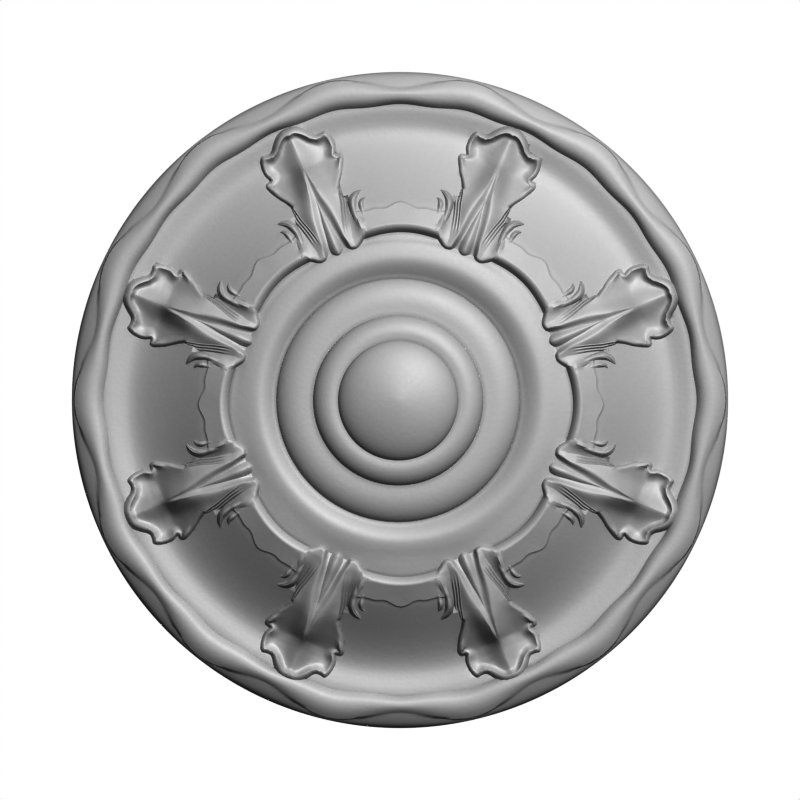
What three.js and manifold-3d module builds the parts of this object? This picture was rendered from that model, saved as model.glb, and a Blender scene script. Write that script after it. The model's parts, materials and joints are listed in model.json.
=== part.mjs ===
// Ceiling rose: one cast disc with a turned boss, a coved field, a scalloped rim and eight acanthus leaves.
// Millimetres, +Z up. The rose is drawn face up (u right, v up, height off the back) and then turned over,
// so that its flat back lies at z = 0 against the ceiling and the face looks down.
import * as THREE from 'three';
import Module from 'manifold-3d';

// Whole rose
const DIAMETER = 600;
const DEPTH = 100;
const RADIUS = DIAMETER / 2;
const CENTRE_SEGMENTS = 32;
const RIM_SEGMENTS = 84;

// The boss and the ring of leaves were set by hand, each a little off the disc's own centre
const BOSS_SHIFT = [-1.75, -0.4];
const LEAF_SHIFT = [0.75, -4.0];

// Boss: a domed button on two stepped rolls, with the groove around it
const GROOVE_HEIGHT = 52;
const LOW_ROLL = { crest: 86, outer: 111.4, height: 66, power: 2.2, steps: 4 };
const HIGH_ROLL = { crest: 61.3, outer: 77.8, height: 79, power: 2.2, steps: 4 };
const BUTTON = { crest: 0, outer: 54.9, height: DEPTH, power: 1.6, steps: 5 };
const BUTTON_FOOT = 78.4;

// Dish around the boss, from the groove to the foot of the lip
const DISH = { crest: 130, crestHeight: 60.2, outer: 156, outerHeight: 51.4, innerPower: 1.8, outerPower: 1.4 };
const DISH_RINGS = [116, 123, DISH.crest, 142];

// Lip that closes the dish, wandering a little between leaves and sunk under them
const LIP = { foot: 155.8, wander: 2, wall: 5, crestHeight: 61.3, crestWander: 1.7, shoulder: 3 };
const LIP_RINGS = [168, 181];
const SUNK = { start: 156, startHeight: 52, end: 182, endHeight: 47 };
const SUNK_ANGLE = { full: 4, none: 8 };

// Cove that falls from the lip to the rim
const COVE = { top: 166.5, topHeight: 59.4, low: 250, lowHeight: 10.8, power: 1.46, rise: 0.0066 };
const COVE_RINGS = [197, 215, 234];

// Rim: a waved bead above a bevelled edge
const RIM_WAVES = 14;
const RIM_BEAD = { inner: 270.6, peak: 280.7, outer: 291.7, height: 19.7, footHeight: 12.9 };
const RIM_WANDER = { inner: 0.3, innerTwice: 1.05, peak: 1.8, peakTwice: 0.55, outer: 5.85, height: -0.45 };
const BEVEL = { width: 12.4, topHeight: 15.1, edgeHeight: 6.4 };

// Leaves: y runs out from the ring's centre along the leaf, x across it
const LEAF_COUNT = 8;
const FIRST_LEAF = Math.PI / LEAF_COUNT;
const TIP = 274;
const WAIST = 205;
const FOOT = 146.4;

// Half outline of a leaf, lobe by lobe: points, steps, the stretch of midrib that feeds the lobe,
// and how far its rolled edge stands above the cove at either end
const LOBES = [
  { points: [[0, TIP], [12, 270], [18.5, 262.5], [22.5, 257.5]], steps: 3, rib: [TIP, 256], roll: [6.5, 3.2] },
  {
    points: [[22.5, 257.5], [30.5, 258.6], [35, 250], [35.3, 241], [33, 234.6]],
    steps: 4, rib: [256, 236], roll: [3, 3.2],
  },
  {
    points: [[33, 234.6], [38, 233.2], [38.6, 227], [33, 217.5], [24.5, WAIST]],
    steps: 4, rib: [236, WAIST], roll: [3.5, 8.5],
  },
  {
    points: [[24.5, WAIST], [26.5, 199], [33, 196.2], [40.5, 196.5], [34.5, 187.5]],
    steps: 4, rib: [WAIST, 187], roll: [7, 2],
  },
  {
    points: [[34.5, 187.5], [40.5, 188], [33.5, 174], [31, 163], [27.5, 154]],
    steps: 4, rib: [187, 158], roll: [2, 0],
  },
  {
    points: [[27.5, 154], [22, 149.8], [16.5, 146.8], [8, 147.5], [0, FOOT]],
    steps: 3, rib: [158, FOOT], roll: [0, 0],
  },
];
const ROLL = { crest: 2.6, width: 6.2, drop: 1.8, footDrop: 3.4 };

// Heights and widths along a leaf, as stops of [y, value]
const RIDGE_HEIGHT = [
  [FOOT, 60], [159, 58.9], [181, 53.6], [207, 43.8], [231, 32.8], [235, 27.5], [243, 22.5], [262, 16.4],
];
const RIDGE_SPREAD = [[147, 13], [157, 10.8], [170, 10.2], [188, 9.8], [233, 0]];
const FLANK_DROP = [
  [150, 0.5], [170, 7], [182, 11], [192, 10], [WAIST, 8], [218, 13.5], [229, 18], [238, 13], [247, 9], [262, 3.4],
];
const FLANK_REACH = [[150, 12], [192, 13], [210, 9.6], [229, 11.5], [247, 14.6]];
const GROOVE_FLOOR = [[150, 50], [159, 54], [181, 49.6], [207, 41.9], [229, 32.8], [234, 31]];
const GROOVE_SPREAD = [[147, 5.5], [152, 6.5], [170, 5], [185, 3], [204, 0]];
const TONGUE_HEIGHT = [[FOOT, 50], [148.2, 58.2], [152, 59.8], [159, 58.5], [181, 51.3], [203, 42.4]];

// A leaf's underside is closed inside the disc, this far below its surface
const BURIED = 5;
const BURIED_LEVEL = 44;

// Shares of a row across a leaf that keep its columns in order where the leaf is narrow
const COLUMN_LIMITS = {
  grooveLeast: 0.08, grooveOfRidge: 0.8, ridgeLeast: 0.16, ridgeMost: 0.4, valleyLeast: 0.55, crestLeast: 0.75,
};

const TURN = Math.PI * 2;
const { clamp, degToRad, lerp, radToDeg, smoothstep } = THREE.MathUtils;

// Value at y on a line through the stops
function along(stops, y) {
  const next = stops.findIndex(([stop]) => y <= stop);
  if (next === 0) return stops[0][1];
  if (next < 0) return stops[stops.length - 1][1];
  const [y0, low] = stops[next - 1];
  const [y1, high] = stops[next];
  return lerp(low, high, (y - y0) / (y1 - y0));
}

// Height of the cove at a distance from the centre
function coveHeight(r) {
  if (r > COVE.low) return COVE.lowHeight + COVE.rise * (r - COVE.low) ** 2;
  const share = (COVE.low - r) / (COVE.low - COVE.top);
  return COVE.lowHeight + (COVE.topHeight - COVE.lowHeight) * share ** COVE.power;
}

// Height of the dish at a distance from the centre
function dishHeight(r) {
  if (r < DISH.crest) {
    const share = (DISH.crest - r) / (DISH.crest - LOW_ROLL.outer);
    return lerp(DISH.crestHeight, GROOVE_HEIGHT, share ** DISH.innerPower);
  }
  const share = (r - DISH.crest) / (DISH.outer - DISH.crest);
  return lerp(DISH.crestHeight, DISH.outerHeight, share ** DISH.outerPower);
}

// How nearly an angle points along a leaf: 1 on its midrib, -1 midway between two leaves
function leafward(angle) {
  return Math.cos(LEAF_COUNT * (angle - FIRST_LEAF));
}

// Share of the lip that is cut away, which happens only under a leaf
function underLeaf(angle) {
  const none = Math.cos(LEAF_COUNT * degToRad(SUNK_ANGLE.none));
  const full = Math.cos(LEAF_COUNT * degToRad(SUNK_ANGLE.full));
  return smoothstep(leafward(angle), none, full);
}

// A closed solid from points and triangles, with equal points merged and empty triangles dropped
function makeSolid(wasm, points, triangles) {
  const seen = new Map();
  const kept = [];
  const index = points.map((point) => {
    const key = point.map((value) => value.toFixed(4)).join(' ');
    if (!seen.has(key)) {
      seen.set(key, kept.length);
      kept.push(point);
    }
    return seen.get(key);
  });
  const faces = triangles.map((face) => face.map((corner) => index[corner]));
  const whole = faces.filter(([a, b, c]) => a !== b && b !== c && c !== a);
  const vertProperties = new Float32Array(kept.flat());
  const triVerts = new Uint32Array(whole.flat());
  return new wasm.Manifold(new wasm.Mesh({ numProp: 3, vertProperties, triVerts }));
}

// A ring of points whose radius and height follow the angle
function ring(count, radius, height, shift = [0, 0]) {
  return Array.from({ length: count }, (_, i) => {
    const angle = (TURN * i) / count;
    const r = radius(angle);
    return [shift[0] + r * Math.cos(angle), shift[1] + r * Math.sin(angle), height(angle)];
  });
}

// A plain round ring
function roundRing(r, height, shift) {
  return ring(CENTRE_SEGMENTS, () => r, () => height, shift);
}

// Rings down the outside of a rounded step, from its crest to its foot
function stepRings({ crest, outer, height, power, steps }, foot) {
  return Array.from({ length: steps + 1 }, (_, i) => {
    const bend = (Math.PI / 2) * (i / steps);
    const r = lerp(crest, outer, Math.sin(bend) ** (2 / power));
    return roundRing(r, lerp(foot, height, Math.cos(bend)), BOSS_SHIFT);
  });
}

function bossRings() {
  const button = stepRings(BUTTON, BUTTON_FOOT).slice(1);
  return [...button, ...stepRings(HIGH_ROLL, LOW_ROLL.height), ...stepRings(LOW_ROLL, GROOVE_HEIGHT)];
}

function dishRings() {
  return DISH_RINGS.map((r) => roundRing(r, dishHeight(r)));
}

// The lip's wall, its crest and the upper cove, which all sink to the dish's level under a leaf
function lipRings() {
  const foot = (angle) => LIP.foot - LIP.wander * leafward(angle);
  const crest = (angle) => LIP.crestHeight + LIP.crestWander * leafward(angle);
  const sunkLevel = (r) => lerp(SUNK.startHeight, SUNK.endHeight, (r - SUNK.start) / (SUNK.end - SUNK.start));
  const lipRing = (radius, height) => {
    const level = (angle) => {
      const low = Math.min(height(angle), sunkLevel(radius(angle)));
      return lerp(height(angle), low, underLeaf(angle));
    };
    return ring(CENTRE_SEGMENTS, radius, level, LEAF_SHIFT);
  };
  return [
    lipRing(foot, () => DISH.outerHeight),
    lipRing((angle) => foot(angle) + LIP.wall / 2, (angle) => crest(angle) - LIP.shoulder),
    lipRing((angle) => foot(angle) + LIP.wall, crest),
    ...LIP_RINGS.map((r) => lipRing(() => r, () => coveHeight(r))),
  ];
}

function coveRings() {
  return COVE_RINGS.map((r) => roundRing(r, coveHeight(r)));
}

// The rim's bead, whose foot, peak and outer crease follow the waves each in its own measure, and the edge
function rimRings() {
  const wave = (angle) => Math.cos(RIM_WAVES * angle);
  const twice = (angle) => Math.cos(2 * RIM_WAVES * angle);
  const inner = (angle) => RIM_BEAD.inner + RIM_WANDER.inner * wave(angle) + RIM_WANDER.innerTwice * twice(angle);
  const peak = (angle) => RIM_BEAD.peak + RIM_WANDER.peak * wave(angle) + RIM_WANDER.peakTwice * twice(angle);
  const outer = (angle) => RIM_BEAD.outer + RIM_WANDER.outer * wave(angle);
  const top = (angle) => RIM_BEAD.height + RIM_WANDER.height * wave(angle);
  const innerFoot = () => RIM_BEAD.footHeight;
  const outerFoot = (angle) => {
    const share = Math.sqrt((RADIUS - outer(angle)) / BEVEL.width);
    return lerp(BEVEL.edgeHeight, BEVEL.topHeight, share);
  };
  const beadSide = (edge, foot) => {
    const half = (angle) => (peak(angle) + edge(angle)) / 2;
    return ring(RIM_SEGMENTS, half, (angle) => lerp(top(angle), foot(angle), 1 / 4));
  };
  return [
    ring(RIM_SEGMENTS, () => COVE.low, () => COVE.lowHeight),
    ring(RIM_SEGMENTS, inner, innerFoot),
    beadSide(inner, innerFoot),
    ring(RIM_SEGMENTS, peak, top),
    beadSide(outer, outerFoot),
    ring(RIM_SEGMENTS, outer, outerFoot),
    ring(RIM_SEGMENTS, () => RADIUS, () => BEVEL.edgeHeight),
    ring(RIM_SEGMENTS, () => RADIUS, () => 0),
  ];
}

// Triangles between two rings, whose counts may differ: each step takes the nearer next point
function bridge(inner, outer, innerStart, outerStart) {
  const faces = [];
  let i = 0;
  let k = 0;
  while (i < inner.length || k < outer.length) {
    const a = innerStart + (i % inner.length);
    const b = outerStart + (k % outer.length);
    if ((k + 1) / outer.length <= (i + 1) / inner.length) {
      k += 1;
      faces.push([a, b, outerStart + (k % outer.length)]);
    } else {
      i += 1;
      faces.push([a, b, innerStart + (i % inner.length)]);
    }
  }
  return faces;
}

// The disc: every ring from the button's top to the edge, closed by a flat back
function makeDisc(wasm) {
  const rings = [...bossRings(), ...dishRings(), ...lipRings(), ...coveRings(), ...rimRings()];
  const top = [[...BOSS_SHIFT, DEPTH]];
  const back = [[0, 0, 0]];
  const loops = [top, ...rings, back];
  const points = loops.flat();
  const faces = [];
  let start = 0;
  for (let n = 0; n + 1 < loops.length; n += 1) {
    const next = start + loops[n].length;
    faces.push(...bridge(loops[n], loops[n + 1], start, next));
    start = next;
  }
  return makeSolid(wasm, points, faces);
}

// Half outline of a leaf as stations from tip to foot
function leafStations() {
  return LOBES.flatMap(({ points, steps, rib, roll }, n) => {
    const curve = new THREE.SplineCurve(points.map(([x, y]) => new THREE.Vector2(x, y)));
    const shares = Array.from({ length: steps + 1 }, (_, i) => i / steps);
    return shares.slice(n === 0 ? 0 : 1).map((share) => {
      const { x, y } = curve.getPoint(share);
      return { x, y, rib: lerp(...rib, share), roll: lerp(...roll, share) };
    });
  });
}

// Height of a leaf's body at a point: tongue and groove on its axis, a leg's ridge, then the flank
function leafBody(x, y) {
  const ridge = along(RIDGE_HEIGHT, y);
  const ridgeX = along(RIDGE_SPREAD, y);
  if (x >= ridgeX) {
    const reach = (x - ridgeX) / along(FLANK_REACH, y);
    return ridge - along(FLANK_DROP, y) * (1 - Math.exp(-(reach ** 2)));
  }
  const floor = along(GROOVE_FLOOR, y);
  const grooveX = along(GROOVE_SPREAD, y);
  if (x >= grooveX) return lerp(floor, ridge, smoothstep(x, grooveX, ridgeX));
  const round = Math.sqrt(1 - (x / grooveX) ** 2);
  return lerp(floor, Math.max(floor, along(TONGUE_HEIGHT, y)), round);
}

// Height of a leaf at a distance in from its edge, with the rolled edge added
function leafTop(x, y, inset, roll) {
  const body = leafBody(x, y);
  const crest = roll > 0 ? coveHeight(Math.hypot(x, y)) + roll : body;
  const drop = roll > 0 ? ROLL.drop : ROLL.footDrop;
  const rolled = lerp(crest, body, smoothstep(inset, ROLL.crest, ROLL.width));
  return rolled - drop * Math.max(0, 1 - inset / ROLL.crest) ** 2;
}

// The point under a leaf, inside the disc, that closes its underside
function leafUnder([x, y]) {
  const r = Math.hypot(x, y);
  return [x, y, r > SUNK.end ? coveHeight(r) - BURIED : BURIED_LEVEL];
}

// One loop of points round a half leaf: across its top from axis to edge, then back underneath
function leafLoop({ x, y, rib, roll }) {
  const limits = COLUMN_LIMITS;
  const length = Math.max(Math.hypot(x, y - rib), ROLL.crest / ROLL.width);
  const ridge = clamp(along(RIDGE_SPREAD, rib) / Math.max(x, 1), limits.ridgeLeast, limits.ridgeMost);
  const grooveMost = ridge * limits.grooveOfRidge;
  const groove = clamp(along(GROOVE_SPREAD, rib) / Math.max(x, 1), limits.grooveLeast, grooveMost);
  const valley = Math.max(1 - ROLL.width / length, limits.valleyLeast);
  const crest = Math.max(1 - ROLL.crest / length, limits.crestLeast);
  const top = [0, groove, ridge, valley, crest, 1].map((share) => {
    const px = x * share;
    const py = lerp(rib, y, share);
    return [px, py, leafTop(px, py, length * (1 - share), roll)];
  });
  return [...top, leafUnder(top[top.length - 1]), leafUnder(top[0])];
}

// A whole leaf pointing along v, its two halves meeting on the axis
function makeLeaf(wasm) {
  const points = [];
  const faces = [];
  const loops = leafStations().map(leafLoop);
  for (const side of [1, -1]) {
    loops.forEach((loop, n) => {
      const start = points.length;
      points.push(...loop.map(([x, y, height]) => [side * x, y, height]));
      if (n === 0) return;
      for (let i = 0; i + 1 < loop.length; i += 1) {
        const b = start + i;
        const a = b - loop.length;
        const quad = side > 0 ? [a, b, b + 1, a + 1] : [a + 1, b + 1, b, a];
        faces.push([quad[0], quad[1], quad[2]], [quad[0], quad[2], quad[3]]);
      }
    });
  }
  return makeSolid(wasm, points, faces);
}

// The whole rose as one solid
function makeRose(wasm) {
  const leaf = makeLeaf(wasm);
  let rose = makeDisc(wasm);
  for (let n = 0; n < LEAF_COUNT; n += 1) {
    const angle = FIRST_LEAF + (TURN * n) / LEAF_COUNT - Math.PI / 2;
    rose = rose.add(leaf.rotate([0, 0, radToDeg(angle)]).translate([...LEAF_SHIFT, 0]));
  }
  return rose;
}

// A three.js geometry from a solid
function toGeometry(solid) {
  const mesh = solid.getMesh();
  const geometry = new THREE.BufferGeometry();
  geometry.setAttribute('position', new THREE.BufferAttribute(new Float32Array(mesh.vertProperties), 3));
  geometry.setIndex(new THREE.BufferAttribute(new Uint32Array(mesh.triVerts), 1));
  geometry.computeVertexNormals();
  return geometry;
}

const wasm = await Module();
wasm.setup();

const plaster = new THREE.MeshStandardMaterial({ color: 0xaeaeae, roughness: 0.85, metalness: 0 });
const rose = new THREE.Mesh(toGeometry(makeRose(wasm)), plaster);
rose.name = 'ceiling_rose';
rose.rotation.x = Math.PI;

const part = new THREE.Group();
part.add(rose);

export default part;
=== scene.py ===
import json
import math

import bpy
import numpy as np
from bpy.props import FloatProperty, FloatVectorProperty, IntProperty, PointerProperty
from bpy.types import Operator, Panel, PropertyGroup
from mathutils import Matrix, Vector

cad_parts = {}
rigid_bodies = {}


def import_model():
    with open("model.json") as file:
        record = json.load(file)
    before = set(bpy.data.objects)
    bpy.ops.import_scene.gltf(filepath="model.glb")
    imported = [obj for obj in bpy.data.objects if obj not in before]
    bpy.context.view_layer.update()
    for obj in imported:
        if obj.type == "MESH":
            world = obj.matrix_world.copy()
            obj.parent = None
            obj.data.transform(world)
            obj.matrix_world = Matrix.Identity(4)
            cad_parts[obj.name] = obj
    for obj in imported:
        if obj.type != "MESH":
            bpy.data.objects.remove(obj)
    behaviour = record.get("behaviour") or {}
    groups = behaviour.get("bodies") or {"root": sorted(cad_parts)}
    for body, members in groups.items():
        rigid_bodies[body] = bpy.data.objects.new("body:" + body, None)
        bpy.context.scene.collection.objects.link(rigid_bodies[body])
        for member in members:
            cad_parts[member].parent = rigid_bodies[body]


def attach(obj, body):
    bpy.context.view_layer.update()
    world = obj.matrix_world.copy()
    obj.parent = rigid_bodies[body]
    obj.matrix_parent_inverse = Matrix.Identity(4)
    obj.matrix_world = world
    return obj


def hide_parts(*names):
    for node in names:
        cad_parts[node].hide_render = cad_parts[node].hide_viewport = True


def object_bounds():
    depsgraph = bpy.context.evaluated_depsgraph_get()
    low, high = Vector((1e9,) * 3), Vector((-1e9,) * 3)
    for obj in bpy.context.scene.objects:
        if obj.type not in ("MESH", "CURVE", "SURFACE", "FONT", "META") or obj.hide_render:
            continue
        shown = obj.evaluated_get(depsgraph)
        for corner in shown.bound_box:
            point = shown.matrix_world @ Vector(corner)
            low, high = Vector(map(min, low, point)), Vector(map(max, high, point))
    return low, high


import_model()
CAD_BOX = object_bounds()

bl_info = {
    "name": "Ceiling Rose",
    "version": (1, 0, 0),
    "blender": (4, 5, 0),
    "location": "View3D > Sidebar > Rose",
    "description": "Models a cast plaster ceiling rose with acanthus leaves, and the studio it is seen in",
    "category": "Object",
}

MM = 0.001
TURN = 2 * math.pi
DIAMETER = (CAD_BOX[1][0] - CAD_BOX[0][0]) / MM
DEPTH = (CAD_BOX[1][2] - CAD_BOX[0][2]) / MM
RADIUS = DIAMETER / 2

# Widths of the picture and of the disc in it, in pixels
PICTURE_PIXELS = 800
DISC_PIXELS = 656

# Slack, in millimetres: between doubled points, round a ring's radius, above the back, and in the thinnest
# leg and fold of a leaf
MERGE_DISTANCE = 0.002
RING_SLACK = 0.001
FACE_ABOVE = 0.5
LEAST_LEG = 0.01
LEAST_FOLD = 0.4

# Turned profile, in millimetres: radius from the centre and height above the back
BUTTON_FOOT = 78.4
BUTTON_POWER = 1.6
HIGH_ROLL = {"crest": 61, "power": 1.95, "dip": 0.2}
LOW_ROLL = {"crest": 86, "power": 2.15}
DISH = (
    (111.4, 51.5), (113, 52), (117, 54.4), (121, 56.5), (125, 58.1), (129.5, 58.8), (135, 58.1),
    (141, 56.6), (147, 54.6), (155.5, 51.4),
)
DISH_CREST = 130
DISH_OUTER = 142
LIP = {"foot": 155.2, "wander": 2.4, "wall": 8, "crest_height": 60.3, "crest_wander": 0.7, "round": 2.6}
LIP_END = 166.5
COVE = (
    (160, 59.6), (164, 58.9), (168, 58), (176, 53.2), (185, 47.9), (189, 45.1), (200, 37.3),
    (210, 30.4), (220, 24), (230, 18.3), (240, 13.7), (249.3, 11.6), (257.5, 12.4), (266, 13.3),
    (271, 13),
)
COVE_END = 262
COLLAR = {
    "reach": 180.7, "point": 5.6, "point_angle": 2.45, "ripple": 0.5, "ripples": 9, "height": 1.4,
    "feather": 0.8, "end": 192,
}
BEAD = {
    "inner": 270.0, "peak": 280.7, "outer": 291.85, "wall": 0.8, "height": 20.8, "outer_height": 15.55,
    "inner_power": 3, "outer_power": 2,
}
BEAD_WANDER = {
    "inner": 0.3, "inner_twice": 1.05, "peak": 1.8, "peak_twice": 0.55, "outer": 5.75, "height": -0.3,
    "outer_height": -1.35,
}
BEVEL = {"width": 13.8, "rise": 11.6, "edge_height": 5.3, "power": 0.64}

# Rings round the disc, stretch by stretch of its profile
RINGS = {
    "button": 14, "high_roll": 12, "low_roll": 13, "dish": 17, "lip": 13, "collar": 11, "collar_edge": 7,
    "cove": 14, "bead_foot": 4, "bead_inner": 10, "bead_outer": 8, "bevel": 6, "back": 6,
}

# Radii where the boss's shift off centre starts to fade, where the lip's is full, and where it has faded
BOSS_END = 112
LIP_SHIFTED = 153
LIP_SHIFT_END = 245

# Leaf, in millimetres: y runs out from the ring's centre along the leaf, x across it
TIP = 274.0
FOOT = 146.6
WAIST = 204.5

# Half outline of a leaf, lobe by lobe: points, rows, the stretch of midrib that feeds the lobe, then from
# one end of the lobe to the other how far its rolled edge stands above the cove, how far in the edge's
# crest lies, and how wide the rise to it is
LOBES = (
    {
        "points": ((0, TIP), (6, 273.4), (12, 270.2), (17.5, 264), (20.5, 259.8), (23, 257.7)),
        "rows": 20, "rib": (TIP, 254), "roll": (9.5, 7), "crest": (8, 4.8), "rise": (5, 6.5),
    },
    {
        "points": (
            (23, 257.7), (27, 257.7), (31, 258.4), (34.2, 254.5), (36, 247), (35.6, 240), (33.2, 234.8),
        ),
        "rows": 24, "rib": (254, 235), "roll": (6.4, 5.4), "crest": (4.5, 4.2), "rise": (7, 8.5),
    },
    {
        "points": ((33.2, 234.8), (37.6, 233.8), (39, 229.5), (36.6, 223.5)),
        "rows": 12, "rib": (235, 222), "roll": (5.4, 6), "crest": (4.2, 4.6), "rise": (7, 5),
    },
    {
        "points": ((36.6, 223.5), (32.4, 216.4), (27.8, 210.2), (24.6, WAIST)),
        "rows": 12, "rib": (222, WAIST), "roll": (6, 0), "crest": (4.6, 4.2), "rise": (5, 3),
    },
    {
        "points": (
            (24.6, WAIST), (25.4, 202), (26.4, 199), (27.6, 195.4), (29.4, 190.6), (31.2, 184), (32.4, 176),
            (33.4, 168), (34.6, 162), (35.4, 158.8),
        ),
        "rows": 30, "rib": (WAIST, 158.8), "roll": (0, 0), "crest": (2.6, 7), "rise": (3, 3),
    },
    {
        "points": (
            (35.4, 158.8), (31, 154.8), (27.2, 152.2), (24, 150), (21, 147.9), (16.5, 146.4), (9, 148),
            (0, FOOT),
        ),
        "rows": 20, "rib": (158.8, FOOT), "roll": (0, 0), "crest": (5, 3.6), "rise": (3, 3),
    },
)
FOOT_LOBE = LOBES[-1]
ROLL_POWER = 2.2
EDGE_OVERLAP = 1.5
WALL_POWER = 2.6

# Heights and widths along a leaf, as stops of (y, value)
RIDGE_HEIGHT = (
    (FOOT, 59.4), (152, 59.8), (158, 59.6), (165, 58.6), (172, 57.2), (180, 55.4), (188, 53.6),
    (196, 51.6), (204, 49.4), (212, 46.8), (220, 43), (224, 40.6), (228, 37.4), (232, 32.8),
    (235, 29.4), (238, 26.6), (241, 24.6), (245, 22.6), (249, 21.1), (253, 19.8), (257, 18.6),
    (260, 17.8), (263, 17.2), (TIP, 17),
)
RIDGE_SPREAD = (
    (FOOT, 14.5), (149, 13.4), (152, 12.6), (156, 12.2), (160, 11.4), (164, 10.7), (172, 10.4),
    (180, 9.9), (188, 9.2), (196, 7.7), (204, 5.8), (212, 4.2), (220, 2.7), (228, 1.4), (233.5, 0),
)
FLANK_FLOOR = (
    (FOOT, 59.1), (158, 57.6), (164, 55.4), (168, 53.4), (176, 48.8), (184, 46.4), (192, 44.6),
    (200, 42.8), (204, 41), (208, 38.4), (212, 35.2), (216, 31.8), (220, 28.4), (224, 24.8),
    (228, 21.2), (232, 17.8), (236, 15.2), (240, 13.4), (244, 12.6), (248, 12.5), (252, 12.8),
    (256, 13.2), (261, 13.2), (265, 12.8),
)
FLANK_REACH = (
    (FOOT, 5), (160, 5), (168, 8), (176, 9), (184, 10), (192, 10.6), (200, 10), (212, 9.6),
    (220, 9.8), (228, 9.6), (232, 10), (236, 11.6), (240, 13), (244, 13), (248, 12), (252, 10),
    (256, 8), (261, 7),
)
FLANK_CREASE = 0.2
GROOVE_SPREAD = (
    (FOOT, 10.5), (149, 9.9), (152, 9), (156, 7.6), (160, 6.8), (164, 6.1), (172, 5), (180, 4.2),
    (188, 2.6), (196, 1.3), (204, 0.2),
)
GROOVE_DEPTH = (
    (FOOT, 7.6), (150, 7.3), (153, 6.9), (156, 6.3), (160, 5.4), (164, 4.8), (172, 4.5), (180, 4),
    (188, 3.7), (196, 3.7), (204, 2.7), (212, 1.9), (220, 1.6), (228, 0.5), (232, 0),
)
# Side of a leaf below its waist: pleats hang from a hem into a valley, and a rim rises beyond it; the pleats
# start at a bottom, are full further out, and are as deep as their fold
HEM_LINE = (
    (FOOT, 17), (152, 15.6), (156, 14), (160, 12.2), (164, 11.4), (170, 12.5), (180, 15.3),
    (190, 18.5), (200, 21.2), (WAIST, 23),
)
VALLEY_LINE = (
    (FOOT, 18), (152, 17.2), (156, 17.4), (160, 18.2), (168, 20.3), (176, 22), (184, 24.2),
    (192, 26.6), (200, 26.6), (WAIST, 24.4),
)
VALLEY_HEIGHT = (
    (FOOT, 59.2), (152, 58.9), (156, 58.2), (160, 56.6), (164, 54.8), (168, 52.6), (176, 47.2),
    (184, 42), (192, 36.4), (200, 32.4), (WAIST, 31.5),
)
RIM_LINE = (
    (FOOT, 22), (152, 25.5), (156, 28), (160, 28.6), (168, 28.1), (176, 27.8), (184, 28.1),
    (192, 29), (200, 28), (WAIST, 25),
)
RIM_HEIGHT = (
    (FOOT, 59.3), (152, 59.6), (156, 60.2), (160, 60.3), (164, 59.8), (168, 58.6), (172, 56.3),
    (176, 53.9), (180, 51.6), (184, 49.1), (188, 46.6), (192, 43.6), (196, 40), (200, 36.4),
    (WAIST, 33.4),
)
PLEATS = {"count": 3, "bottom": 160, "full": 172, "fold": 1.9}
TROUGH_POWER = 2.1

# Bed under a leaf, which the disc sinks to inside the leaf's outline, and the leaf's thickness below it
LEAF_BED = (
    (FOOT, 45), (160, 45), (176, 39), (192, 29), (204, 24), (216, 17), (228, 9), (240, 5), (262, 5),
    (TIP, 7),
)
BED_EDGE = (3, 7.5)
BURIED = 3.0

# Columns across half a leaf, between its landmarks, and where the landmarks go at the foot
COLUMNS = (4, 4, 5, 12, 5)
LEAST_GAP = 0.04
FOOT_MARKS = (0.2, 0.33, 0.46, 0.72)
FOOT_FADE = (149, 157)
BLADE_FADE = (WAIST - 3, WAIST + 4)

# Search for the rolled edge along a row: its steps, how slanted to the edge a row may be, and how many rows
# are evened out together
INSET_STEPS = 160
ROW_SLANT = 1.5
EVENED_ROWS = 5

# Curled fronds beside a leaf: points (x, y), half width and stand above the disc at each
FRONDS = (
    (
        (28.4, 160, 1.5, -1.2), (27.9, 169, 2.4, 0.4), (27.8, 176, 3.0, 1.8), (28.3, 182, 3.6, 3.6),
        (30, 187.6, 4.4, 5.4), (32.8, 191.2, 4.1, 4.8), (36.6, 193.6, 3.1, 3.4), (41.2, 195.4, 1.1, 1.0),
    ),
    (
        (34.6, 171, 1.6, -0.6), (35.4, 178, 2.9, 1.4), (36.6, 183, 3.2, 3.6), (38.8, 186, 2.4, 2.8),
        (41.8, 187.6, 0.8, 0.8),
    ),
)

# Tongue on a leaf's axis: points (x, y), half width and stand above the groove's floor at each
TONGUE = (
    (0, 204, 0.3, 0.1), (0, 196, 1.3, 0.4), (0, 188, 2.6, 1.2), (0, 180, 4.2, 2.2),
    (0, 172, 5.1, 3.1), (0, 164, 6.1, 4.4), (0, 158, 6.8, 5.4), (0, 154, 6.9, 6),
    (0, 150.8, 6.4, 6.1), (0, 148.3, 4.7, 4.9), (0, 146.4, 0.8, 0.8),
)

# Section of the fronds and the tongue
ROLL_GRID = (24, 10)
ROLL_EDGE = 1.4
ROLL_ROUND = 1.7
ROLL_DEPTH = 6
FROND_FLUTES = {"count": 3, "depth": 0.7, "start": 0.4, "full": 0.8}

# Surface: the angle past which an edge stays sharp, and how a face of the back is told, by the way it points
# and by how near the back it lies, in millimetres
SMOOTH_ANGLE = math.radians(38)
BACK_FACING = 0.99
BACK_SKIN = 0.1

# Colour attribute of painted shade that darkens the hollows, the angles at which a place counts as hollow
# and as open, and the dark colour painted into a hollow as shade
SHADE_LAYER = "Hollows"
HOLLOW_ANGLE = math.radians(40)
OPEN_ANGLE = math.radians(124)
SHADE_COLOUR = (0.12, 0.12, 0.12, 1)

# Finish of the paint and of the bare plaster: drift of tone either way, depth of the pitting, and sheen
PAINTED = {"variation": 0.06, "bump_distance": 0.25 * MM, "sheen": 0.8}
UNPAINTED = {"variation": 0.1, "bump_distance": 0.6 * MM, "sheen": 0.3}

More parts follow.
